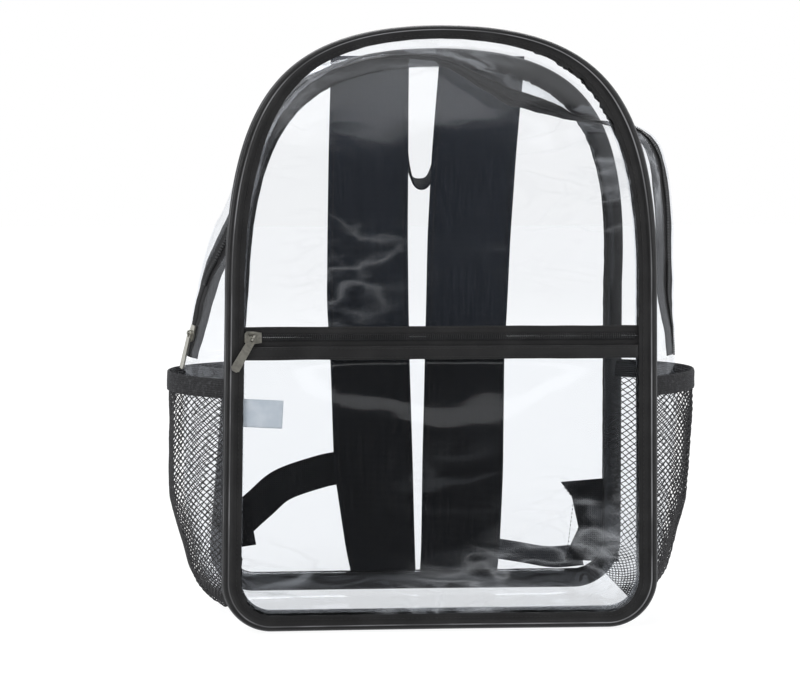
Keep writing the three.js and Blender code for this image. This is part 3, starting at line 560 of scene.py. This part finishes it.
def pocket_place(u, v):
    """Place of the pocket's film, domed in the middle and creased low down."""
    height = FILM_EDGE + (POCKET_TOP - FILM_EDGE) * v
    half = front_half_width(height, FILM_EDGE)
    x = (2 * u - 1) * half
    share = min(1, abs(x) / (half - (WALL_INSET - FILM_EDGE)))
    up = min(max((height - WALL_INSET) / (BAND_LOW - FILM_EDGE - WALL_INSET), 0), 1)
    dome = POCKET_DOME * 4 * up * (1 - up) * (1 - share * share)
    slack = dents((x, 0, height), 0.07, 0.0012)
    slack += creases((x, 0.2, height * 2.2), 0.05, 0.0016) * max(0, 1 - 2.2 * up)
    return Vector((x, POCKET_DEPTH - dome - slack * min(1, 8 * up, 8 * (1 - up)) * (1 - share), height))


pocket_look = clear_film("pocket_vinyl", 0.002, 0.12, (1.0, 1.0, 3.0))
pocket = grid_sheet("pocket_panel_film", 96, 64, pocket_place)
finish_with(pocket, "SOLIDIFY", thickness=FILM, offset=0)
fitted(pocket, pocket_look, "clear_vinyl", "pocket_panel")


def close_ends(piece):
    """Closes the open ends of a tube."""
    bpy.context.view_layer.objects.active = piece
    bpy.ops.object.mode_set(mode="EDIT")
    bpy.ops.mesh.select_all(action="SELECT")
    bpy.ops.mesh.fill_holes(sides=0)
    bpy.ops.object.mode_set(mode="OBJECT")
    return piece


def cross_strip(name, low, high, near, thick, half, ripple, rows):
    """A strip straight across the front, rounded along its long edges."""
    def place(u, v):
        x = (2 * u - 1) * half
        turn = v * 2 * math.pi
        middle, tall = (low + high) / 2, (high - low) / 2
        up = math.copysign(abs(math.sin(turn)) ** 0.35, math.sin(turn)) * tall
        deep = math.copysign(abs(math.cos(turn)) ** 0.6, math.cos(turn)) * thick / 2
        waver = ripple * noise.noise(Vector((x * 45, 0.4, middle * 50)))
        return Vector((x, near + deep - abs(waver) * 0.5, middle + up + waver))

    return close_ends(grid_sheet(name, 150, rows, place))


OPEN_HALF = front_half_width(SHOULDER, 0.0143)
SEWN_HALF = front_half_width(SHOULDER, FILM_EDGE)
TEETH_APART = 0.0015
upper_tape = cross_strip("pocket_tape_upper", 0.21105, 0.2184, -0.0600, 0.0008, SEWN_HALF, 0.0003, 12)
fitted(upper_tape, tape_look, "zipper_tape", "pocket_zipper_tape_upper")
lower_tape = cross_strip("pocket_tape_lower", 0.2036, 0.21095, -0.0600, 0.0008, SEWN_HALF, 0.0001, 12)
fitted(lower_tape, tape_look, "zipper_tape", "pocket_zipper_tape_lower")
band = cross_strip("pocket_top_tape", BAND_LOW, BAND_TOP, -0.0616, 0.0014, OPEN_HALF, 0.0003, 16)
fitted(band, binding_look, "binding_tape", "pocket_top_binding")
zip_start = -OPEN_HALF + 0.0095
count = int((OPEN_HALF - zip_start) / TEETH_APART)
zip_teeth = [(Vector((zip_start + TEETH_APART * k, -0.0610, ZIP_HEIGHT)), Vector((1, 0, 0)),
              Vector((0, -1, 0))) for k in range(count)]
pocket_teeth = repeated("pocket_coil_teeth", tooth(), zip_teeth)
fitted(pocket_teeth, coil_look, "zipper_coil", "pocket_zipper_coil")
POCKET_ROWS = [("upper", 0.2176, -0.0607), ("lower", 0.1968, -0.06235), ("band", 0.2029, -0.06235)]
for name, height, depth in POCKET_ROWS:
    points = int((2 * OPEN_HALF - 0.004) / 0.002)
    line = [(-OPEN_HALF + 0.002 + 0.002 * k, depth, height) for k in range(points)]
    row = seam_row(line, 0.0033, lambda point: Vector((0, -1, 0)))
    stitches = repeated(f"pocket_{name}_stitches", bead(0.0026, 0.0006, 0.0005), row)
    fitted(stitches, thread_look, "binding_tape")

# Label. A small bare tab of pale woven cloth inside the pocket, sewn in by its left end under the
# binding and tipped a little.
LABEL_WIDE, LABEL_TALL, LABEL_TIP = 0.038, 0.020, math.radians(3)
LABEL_AT = Vector((-0.1317, -0.059, 0.157))


def pale_cloth():
    """Pale grey-blue cloth with a fine plain weave, a little soiled."""
    look, wire, where = new_look("label_cloth")
    weave = {"Vector": where, "Scale": 900.0, "Distortion": 0.5}
    across = wire.node("TexWave", {"bands_direction": "X"}, weave)
    up = wire.node("TexWave", {"bands_direction": "Z"}, weave)
    soil = wire.mottle(where, 160.0, 3.0)
    shade = wire.blend(soil.ease(0.3, 0.8), (0.50, 0.55, 0.60, 1), (0.60, 0.64, 0.68, 1))
    normal = wire.node("Bump", None, {"Strength": 0.4, "Distance": 0.0002, "Height": across * 0.5 + up * 0.5})
    body = wire.node("BsdfPrincipled", None, {"Base Color": shade, "Roughness": 0.75, "Normal": normal})
    wire.node("OutputMaterial", None, {"Surface": body})
    return look


def label_place(u, v):
    """Place of the label's cloth, whose free end curls a little."""
    x, z = LABEL_WIDE * (u - 0.5), LABEL_TALL * (v - 0.5)
    curl = 0.0004 * math.sin(3 * u) * (u ** 2) + 0.0002 * noise.noise(Vector((x * 90, 0, z * 90)))
    return LABEL_AT + Vector((x * math.cos(LABEL_TIP) + z * math.sin(LABEL_TIP), -curl,
                              z * math.cos(LABEL_TIP) - x * math.sin(LABEL_TIP)))


label = grid_sheet("label_tab", 24, 12, label_place)
finish_with(label, "SOLIDIFY", thickness=0.0004, offset=0)
fitted(label, pale_cloth(), "label_cloth", "label")

# Side pockets. Knitted black net with small diamond holes, sewn in at the bottom and the two seams, and
# gathered at the top into a band of ribbed elastic. A pleat in the front third takes up its fullness.
NET_FOOT, NET_TOP, ELASTIC_MIDDLE, ELASTIC_HALF = 6, 13.15, 13.42, 0.27
NET_COLUMNS, NET_ROWS, NET_THREAD = 27, 37, 0.0011


def net_out(way, share, base):
    """How far the net stands off the side wall."""
    grow = min(1, (way * ALL_STEPS - NET_FOOT) / 4)
    return base + 0.009 * grow * 4 * share * (1 - share)


def net(name, sign):
    """One side's net: a grid poked into diamonds, laid over the side wall and turned into thread."""
    bpy.ops.object.select_all(action="DESELECT")
    bpy.ops.mesh.primitive_grid_add(x_subdivisions=NET_COLUMNS, y_subdivisions=NET_ROWS, size=2)
    piece = bpy.context.object
    piece.name = piece.data.name = name
    bpy.ops.object.mode_set(mode="EDIT")
    bpy.ops.mesh.select_all(action="SELECT")
    bpy.ops.mesh.poke()
    bpy.ops.mesh.select_all(action="DESELECT")
    bpy.ops.object.mode_set(mode="OBJECT")
    for edge in piece.data.edges:
        start, end = (piece.data.vertices[index].co for index in edge.vertices)
        straight = abs(start.x - end.x) < 1e-5 or abs(start.y - end.y) < 1e-5
        outer = max(abs(start.x + end.x), abs(start.y + end.y)) > 1.999
        edge.select = straight and not outer
    bpy.ops.object.mode_set(mode="EDIT")
    bpy.ops.mesh.select_mode(type="EDGE")
    bpy.ops.mesh.dissolve_edges(use_verts=False)
    bpy.ops.mesh.select_mode(type="VERT")
    bpy.ops.object.mode_set(mode="OBJECT")
    for vertex in piece.data.vertices:
        share, up = vertex.co.x / 2 + 0.5, vertex.co.y / 2 + 0.5
        way = (NET_FOOT + (NET_TOP - NET_FOOT) * up) / ALL_STEPS
        jog = Vector((share * 22, up * 31, sign))
        share = min(max(share + 0.006 * noise.noise(jog), 0.002), 0.998)
        pleat = 0.0022 * math.exp(-((share - 0.36) / 0.02) ** 2)
        lift = net_out(way, share, 0.0016) + pleat + 0.0007 * noise.noise(jog * 0.35)
        vertex.co = wall(sign * way, share, lift)
    finish_with(piece, "WIREFRAME", thickness=NET_THREAD, use_even_offset=False)
    return piece


def net_thread():
    """Fuzzy black thread."""
    look, wire, where = new_look("net_thread")
    fuzz = wire.mottle(where, 700.0, 3.0)
    shade = wire.blend(fuzz, (0.011, 0.010, 0.011, 1), (0.05, 0.048, 0.05, 1))
    normal = wire.node("Bump", None, {"Strength": 0.6, "Distance": 0.0002, "Height": fuzz})
    body = wire.node("BsdfPrincipled", None, {"Base Color": shade, "Roughness": 0.6, "Normal": normal})
    wire.node("OutputMaterial", None, {"Surface": body})
    return look


def ribbed_elastic():
    """Black elastic with ribs along it and pale lint."""
    look, wire, where = new_look("ribbed_elastic")
    ribbing = {"Vector": where, "Scale": 210.0, "Distortion": 1.2, "Detail": 2.0, "Detail Scale": 2.0}
    ribs = wire.node("TexWave", {"bands_direction": "Z"}, ribbing)
    lint = wire.mottle(where, 500.0, 3.0)
    shade = wire.blend(lint.ease(0.45, 0.9), (0.012, 0.0115, 0.013, 1), (0.07, 0.07, 0.075, 1))
    normal = wire.node("Bump", None, {"Strength": 0.8, "Distance": 0.0005, "Height": ribs + lint * 0.4})
    body = wire.node("BsdfPrincipled", None, {"Base Color": shade, "Roughness": 0.7, "Normal": normal})
    wire.node("OutputMaterial", None, {"Surface": body})
    return look


net_look, elastic_look = net_thread(), ribbed_elastic()
for name, sign in [("left", -1), ("right", 1)]:
    fitted(net(f"side_net_mesh_{name}", sign), net_look, "net", f"side_net_{name}")

    def elastic_place(u, v):
        share = 0.004 + 0.992 * u
        turn = v * 2 * math.pi
        round_out = math.copysign(abs(math.cos(turn)) ** 0.5, math.cos(turn))
        round_up = math.copysign(abs(math.sin(turn)) ** 0.4, math.sin(turn))
        gather = 0.0005 * noise.noise(Vector((share * 40, round_up, sign)))
        way = (ELASTIC_MIDDLE + ELASTIC_HALF * round_up) / ALL_STEPS
        return wall(sign * way, share, net_out(way, share, 0.0029) + 0.0008 * round_out + gather)

    elastic = close_ends(grid_sheet(f"elastic_{name}", 90, 16, elastic_place))
    fitted(elastic, elastic_look, "webbing", f"net_elastic_{name}")

# Shoulder straps. Flat doubled straps of dark slate cloth, stitched down both edges, sewn into the top seam
# of the back and hanging a little off the back panel.

# Each row is the share of the bag's height, the middle, the width and the stand-off, as shares of their
# full sizes.
STRAPS = {
    "left": [(0.015, -0.44, 0.78, 0.4), (0.06, -0.48, 0.84, 0.5), (0.22, -0.57, 0.97, 0.7),
             (0.42, -0.61, 0.97, 0.95), (0.53, -0.64, 1, 1), (0.66, -0.645, 0.98, 0.95),
             (0.8, -0.64, 0.97, 0.75), (0.9, -0.64, 0.95, 0.4), (0.955, -0.64, 0.94, 0),
             (0.985, -0.64, 0.94, 0)],
    "right": [(0.015, 0.47, 0.95, 0.4), (0.06, 0.5, 0.97, 0.5), (0.22, 0.53, 1, 0.7),
              (0.42, 0.55, 0.98, 0.95), (0.53, 0.575, 1, 1), (0.66, 0.6, 1.02, 0.95),
              (0.8, 0.64, 1.03, 0.75), (0.9, 0.68, 1.03, 0.4), (0.955, 0.7, 1.03, 0), (0.985, 0.71, 1.03, 0)],
}
REAR, STRAP_OFF, STRAP_HALF, STRAP_STAND, STRAP_THICK = 0.0623, 0.064, 0.032, 0.014, 0.0032


def slate_cloth(name, colour, paler, pitch):
    """Dark slate cloth with a fine plain weave, faint upright streaks and a little lint."""
    look, wire, where = new_look(name)
    weave = {"Vector": where, "Scale": 0.31 / pitch, "Distortion": 0.6, "Detail": 1.0}
    warp = wire.node("TexWave", {"bands_direction": "X"}, weave)
    weft = wire.node("TexWave", {"bands_direction": "Z"}, weave)
    streaks = wire.mottle(wire.stretch(where, (9.0, 9.0, 0.6)), 60.0, 4.0)
    lint = wire.mottle(where, 700.0, 1.0).ease(0.7, 0.82)
    shade = wire.blend((streaks.ease(0.3, 0.8) * 0.45 + warp * weft * 0.35 + lint * 0.35), colour, paler)
    height = warp * weft + streaks * 0.4
    normal = wire.node("Bump", None, {"Strength": 0.6, "Distance": 0.0004, "Height": height})
    body = wire.node("BsdfPrincipled", None, {
        "Base Color": shade, "Roughness": 0.82, "Normal": normal, "Specular IOR Level": 0.3})
    wire.node("OutputMaterial", None, {"Surface": body})
    return look


def belt(name, length_steps, around, spine, edge=0.0):
    """A flat belt. spine(t) gives its middle, the direction across it, its half width and its wall."""
    def place(u, v):
        middle, across, half, wall_thick = spine(v)
        ahead = spine(min(v + 0.01, 1))[0] - spine(max(v - 0.01, 0))[0]
        out = ahead.cross(across).normalized()
        turn = u * 2 * math.pi
        wide = math.copysign(abs(math.cos(turn)) ** 0.25, math.cos(turn))
        deep = math.copysign(abs(math.sin(turn)) ** 0.75, math.sin(turn))
        hem = edge * math.exp(-((abs(wide) - 0.93) / 0.05) ** 2) if edge else 0
        return middle + across * (half * wide) + out * ((wall_thick / 2 + hem) * deep)

    return close_ends(grid_sheet(name, around, length_steps, place))


strap_look = slate_cloth("strap_cloth", (0.0105, 0.0135, 0.020, 1), (0.030, 0.037, 0.050, 1), 0.0009)
for name, rows in STRAPS.items():
    heights, middles, widths, stands = zip(*rows)

    def strap_spine(t):
        height = heights[0] + (heights[-1] - heights[0]) * t
        soft = [height + shift for shift in (-0.02, 0, 0.02)]
        columns = (middles, widths, stands)
        middle, width, stand = (sum(np.interp(soft, heights, column)) / 3 for column in columns)
        sag = 0.0012 * noise.noise(Vector((height * 7, len(name), 0.4)))
        spot = Vector((STRAP_OFF * middle, REAR + STRAP_STAND * stand + 0.002 + sag, BACK["top"] * height))
        return spot, Vector((1, 0, 0)), STRAP_HALF * width, STRAP_THICK

    strap = belt(f"shoulder_strap_cloth_{name}", 90, 40, strap_spine, 0.0005)
    fitted(strap, strap_look, "strap_cloth", f"shoulder_strap_{name}")
    rows_of_stitches = []
    for edge in (-0.88, 0.88):
        for face in (-1, 1):
            line = []
            for step in range(181):
                middle, across, half, thick = strap_spine(step / 180)
                line.append(middle + across * (half * edge) + Vector((0, face * (thick / 2 + 0.0006), 0)))
            rows_of_stitches += seam_row(line, 0.0036, lambda point: Vector((0, face, 0)))
    stitches = repeated(f"strap_stitches_{name}", bead(0.0027, 0.0006, 0.0005), rows_of_stitches)
    fitted(stitches, thread_look, "strap_cloth")

# Strap tabs, webbing and ladder locks. Each strap is tied to a folded tab at the lower corner of the back
# by a length of webbing, which runs through a moulded ladder lock behind the strap.
STAND_ROOM = 0.018
WEBBING_TILT = {"left": 0.0, "right": math.radians(64)}
# Rows are the place across, the stand-off of a route, and the height, as shares of the back's own sizes.
WEBBING = {
    "left": [(-0.38, 0.91, 0.221), (-0.485, 0.88, 0.214), (-0.67, 0.5, 0.193), (-0.776, 0.25, 0.162),
             (-0.876, 0.16, 0.128), (-0.93, 0.16, 0.105)],
    "right": [(0.38, 1.34, 0.061), (0.5, 1.15, 0.055), (0.65, 0.84, 0.048), (0.8, 0.79, 0.052)],
}
TABS = {
    "left": [(-0.985, 0.075), (-0.8, 0.085), (-0.83, 0.15), (-0.985, 0.175)],
    "right": [(0.97, 0.045), (0.7, 0.05), (0.77, 0.11), (0.735, 0.17), (0.68, 0.197), (0.955, 0.205)],
}


def through(points):
    """A smooth curve through points, as a function of its share."""
    points = [Vector(point) for point in points]
    padded = [2 * points[0] - points[1], *points, 2 * points[-1] - points[-2]]

    def at(t):
        place = min(max(t, 0), 1) * (len(points) - 1)
        k = min(int(place), len(points) - 2)
        s = place - k
        a, b, c, d = padded[k:k + 4]
        bend = (2 * a - 5 * b + 4 * c - d) * s * s + (3 * b - a - 3 * c + d) * s ** 3
        return 0.5 * (2 * b + (c - a) * s + bend)

    return at


webbing_look = slate_cloth("webbing_weave", (0.009, 0.011, 0.015, 1), (0.034, 0.038, 0.047, 1), 0.0016)
lock_look = woven_tape("moulded_black", (0.012, 0.012, 0.012, 1), 0.32, 0.004, 0.02)
for name, sign in [("left", -1), ("right", 1)]:
    lock_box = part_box(f"ladder_lock_{name}")
    centre = (Vector(lock_box[0]) + Vector(lock_box[1])) / 2
    bpy.ops.object.select_all(action="DESELECT")
    bpy.ops.mesh.primitive_grid_add(x_subdivisions=3, y_subdivisions=1, size=1)
    lock = bpy.context.object
    lock.name = lock.data.name = f"ladder_lock_bars_{name}"
    for vertex in lock.data.vertices:
        vertex.co = Vector((centre.x + vertex.co.x * 0.0225, centre.y, centre.z + vertex.co.y * 0.0345))
    bpy.ops.object.mode_set(mode="EDIT")
    bpy.ops.mesh.select_all(action="SELECT")
    bpy.ops.mesh.inset(thickness=0.0018, use_individual=True)
    bpy.ops.mesh.delete(type="FACE")
    bpy.ops.object.mode_set(mode="OBJECT")
    finish_with(lock, "SOLIDIFY", thickness=0.0036, offset=0)
    finish_with(lock, "BEVEL", width=0.0007, segments=2)
    bpy.ops.object.shade_smooth_by_angle(angle=0.6)
    fitted(lock, lock_look, "black_plastic", f"ladder_lock_{name}")

    route = [Vector((BACK["foot"] * a, REAR + d * STAND_ROOM, BACK["top"] * h)) for a, d, h in WEBBING[name]]
    route = [Vector((centre.x + sign * 0.0116, route[0].y, centre.z)), *route]
    webbing_at = through(route)
    tilt = WEBBING_TILT[name]

    def webbing_spine(t):
        ahead = (webbing_at(min(t + 0.01, 1)) - webbing_at(max(t - 0.01, 0))).normalized()
        if tilt:
            across_it = Vector((0, math.sin(tilt), math.cos(tilt)))
        else:
            across_it = ahead.cross(Vector((0, sign, 0))).normalized()
        return webbing_at(t), across_it, 0.013, 0.0015

    webbing = belt(f"webbing_{name}", 60, 24, webbing_spine)
    fitted(webbing, webbing_look, "webbing", f"strap_webbing_{name}")

    bpy.ops.object.select_all(action="DESELECT")
    corners = [(BACK["foot"] * a, BACK["top"] * h) for a, h in TABS[name]]
    bpy.ops.mesh.primitive_circle_add(vertices=len(corners), radius=0.02, fill_type="NGON")
    tab = bpy.context.object
    tab.name = tab.data.name = f"strap_tab_{name}"
    for vertex, (x, z) in zip(tab.data.vertices, corners):
        vertex.co = Vector((x, REAR + 0.00075, z))
    bpy.ops.object.mode_set(mode="EDIT")
    bpy.ops.mesh.select_all(action="SELECT")
    bpy.ops.mesh.inset(thickness=0.0022)
    bpy.ops.mesh.inset(thickness=0.004)
    bpy.ops.object.mode_set(mode="OBJECT")
    finish_with(tab, "SOLIDIFY", thickness=0.0014, offset=0)
    finish_with(tab, "BEVEL", width=0.0004, segments=2, limit_method="ANGLE")
    bpy.ops.object.shade_smooth_by_angle(angle=0.7)
    fitted(tab, webbing_look, "webbing", f"strap_wing_{name}")
    middle = Vector((sum(x for x, z in corners) / len(corners), 0, sum(z for x, z in corners) / len(corners)))
    ring = [Vector((x, 0, z)).lerp(middle, 0.16) + Vector((0, REAR + 0.0017, 0)) for x, z in corners]
    row = seam_row([*ring, ring[0], ring[len(ring) // 2], ring[1]], 0.0032, lambda point: Vector((0, 1, 0)))
    fitted(repeated(f"tab_stitches_{name}", bead(0.0025, 0.0006, 0.0005), row), thread_look, "webbing")

# Haul loop. A length of the same webbing, sewn into the top seam over the ends of the straps. Its legs hang
# behind the straps, and the bottom of its U crosses the gap between them, tipped so that its face shows.
LOOP_HALF, LOOP_STAND = 0.024, 0.010
# Rows are the place across, the stand-off and the height, as shares of the loop's and the back's sizes.
LOOP = [(-0.66, 0.26, 0.98), (-0.65, 0.42, 0.93), (-0.58, 0.7, 0.87), (-0.46, 0.86, 0.825),
        (-0.36, 0.93, 0.785), (-0.2, 0.95, 0.757), (0.05, 0.96, 0.75), (0.3, 0.95, 0.757),
        (0.48, 0.93, 0.785), (0.58, 0.86, 0.825), (0.64, 0.7, 0.87), (0.68, 0.42, 0.93), (0.68, 0.26, 0.98)]
loop_at = through([(LOOP_HALF * a, REAR + LOOP_STAND + STAND_ROOM * d, BACK["top"] * h) for a, d, h in LOOP])


def loop_spine(t):
    tip = 0.42 * math.exp(-((t - 0.5) / 0.16) ** 2)
    return loop_at(t), Vector((0, math.cos(tip), math.sin(tip))), 0.0098, 0.0019


haul_loop = belt("haul_loop_webbing", 90, 20, loop_spine)
fitted(haul_loop, webbing_look, "webbing", "haul_loop")

# Floor and light. A plain pale floor, one broad soft light from the upper left, a weaker one from the right
# and one long one behind the camera that the film mirrors as a pale band.
bpy.ops.object.select_all(action="DESELECT")
bpy.ops.mesh.primitive_plane_add(size=12)
floor = bpy.context.object
floor.name = "floor"
floor_look, wire, where = new_look("pale_floor")
grain = wire.mottle(where, 30.0, 3.0)
shade = wire.blend(grain, (0.13, 0.13, 0.13, 1), (0.15, 0.15, 0.15, 1))
body = wire.node("BsdfPrincipled", None, {
    "Base Color": shade, "Roughness": 0.9, "Emission Color": (1, 1, 1, 1), "Emission Strength": 0.9})
wire.node("OutputMaterial", None, {"Surface": body})
floor_look.cycles.emission_sampling = "NONE"
floor.data.materials.append(floor_look)
floor.visible_glossy = False


def soft_light(name, place, aim_at, size, power):
    """A broad lamp at a place, turned towards a point."""
    bpy.ops.object.select_all(action="DESELECT")
    bpy.ops.object.light_add(type="AREA", location=place)
    light = bpy.context.object
    light.name = name
    light.data.shape = "RECTANGLE"
    light.data.size, light.data.size_y = size
    light.data.energy = power
    light.rotation_euler = (Vector(aim_at) - light.location).to_track_quat("-Z", "Y").to_euler()
    light.visible_camera = False
    return light


soft_light("key", (-1.6, -1.5, 1.9), (0, 0, 0.2), (1.0, 1.0), 30)
soft_light("fill", (1.9, -0.9, 1.1), (0, 0, 0.2), (0.9, 1.2), 12)
soft_light("rim", (0.3, 1.8, 1.6), (0, 0, 0.25), (1.6, 1.0), 18)
soft_light("window", (0.4, -3.4, 0.53), (0.4, 0, 0.53), (2.2, 0.26), 2.4)

world = bpy.data.worlds.new("studio")
bpy.context.scene.world = world
world.use_nodes = True
world.node_tree.nodes.clear()
wire = Wire(world.node_tree)
seen, mirrored = wire.node("LightPath", out="Is Camera Ray"), wire.node("LightPath", out="Is Glossy Ray")
backdrop = wire.node("Background", None, {"Color": (1, 1, 1, 1), "Strength": 1.0})
room = wire.node("Background", None, {"Color": (0.93, 0.96, 1, 1), "Strength": 0.5})
towards = wire.node("SeparateXYZ", None, {0: wire.node("TexCoord", out="Generated")}, out=1)
gloom = {"Color": (0.95, 0.97, 1, 1), "Strength": towards.ease(-0.9, -0.55) * 0.8 + 0.03}
dark_side = wire.node("Background", None, gloom)
sky = wire.node("MixShader", None, {0: mirrored, 1: room, 2: dark_side})
sky = wire.node("MixShader", None, {0: seen, 1: sky, 2: backdrop})
wire.node("OutputWorld", None, {"Surface": sky})
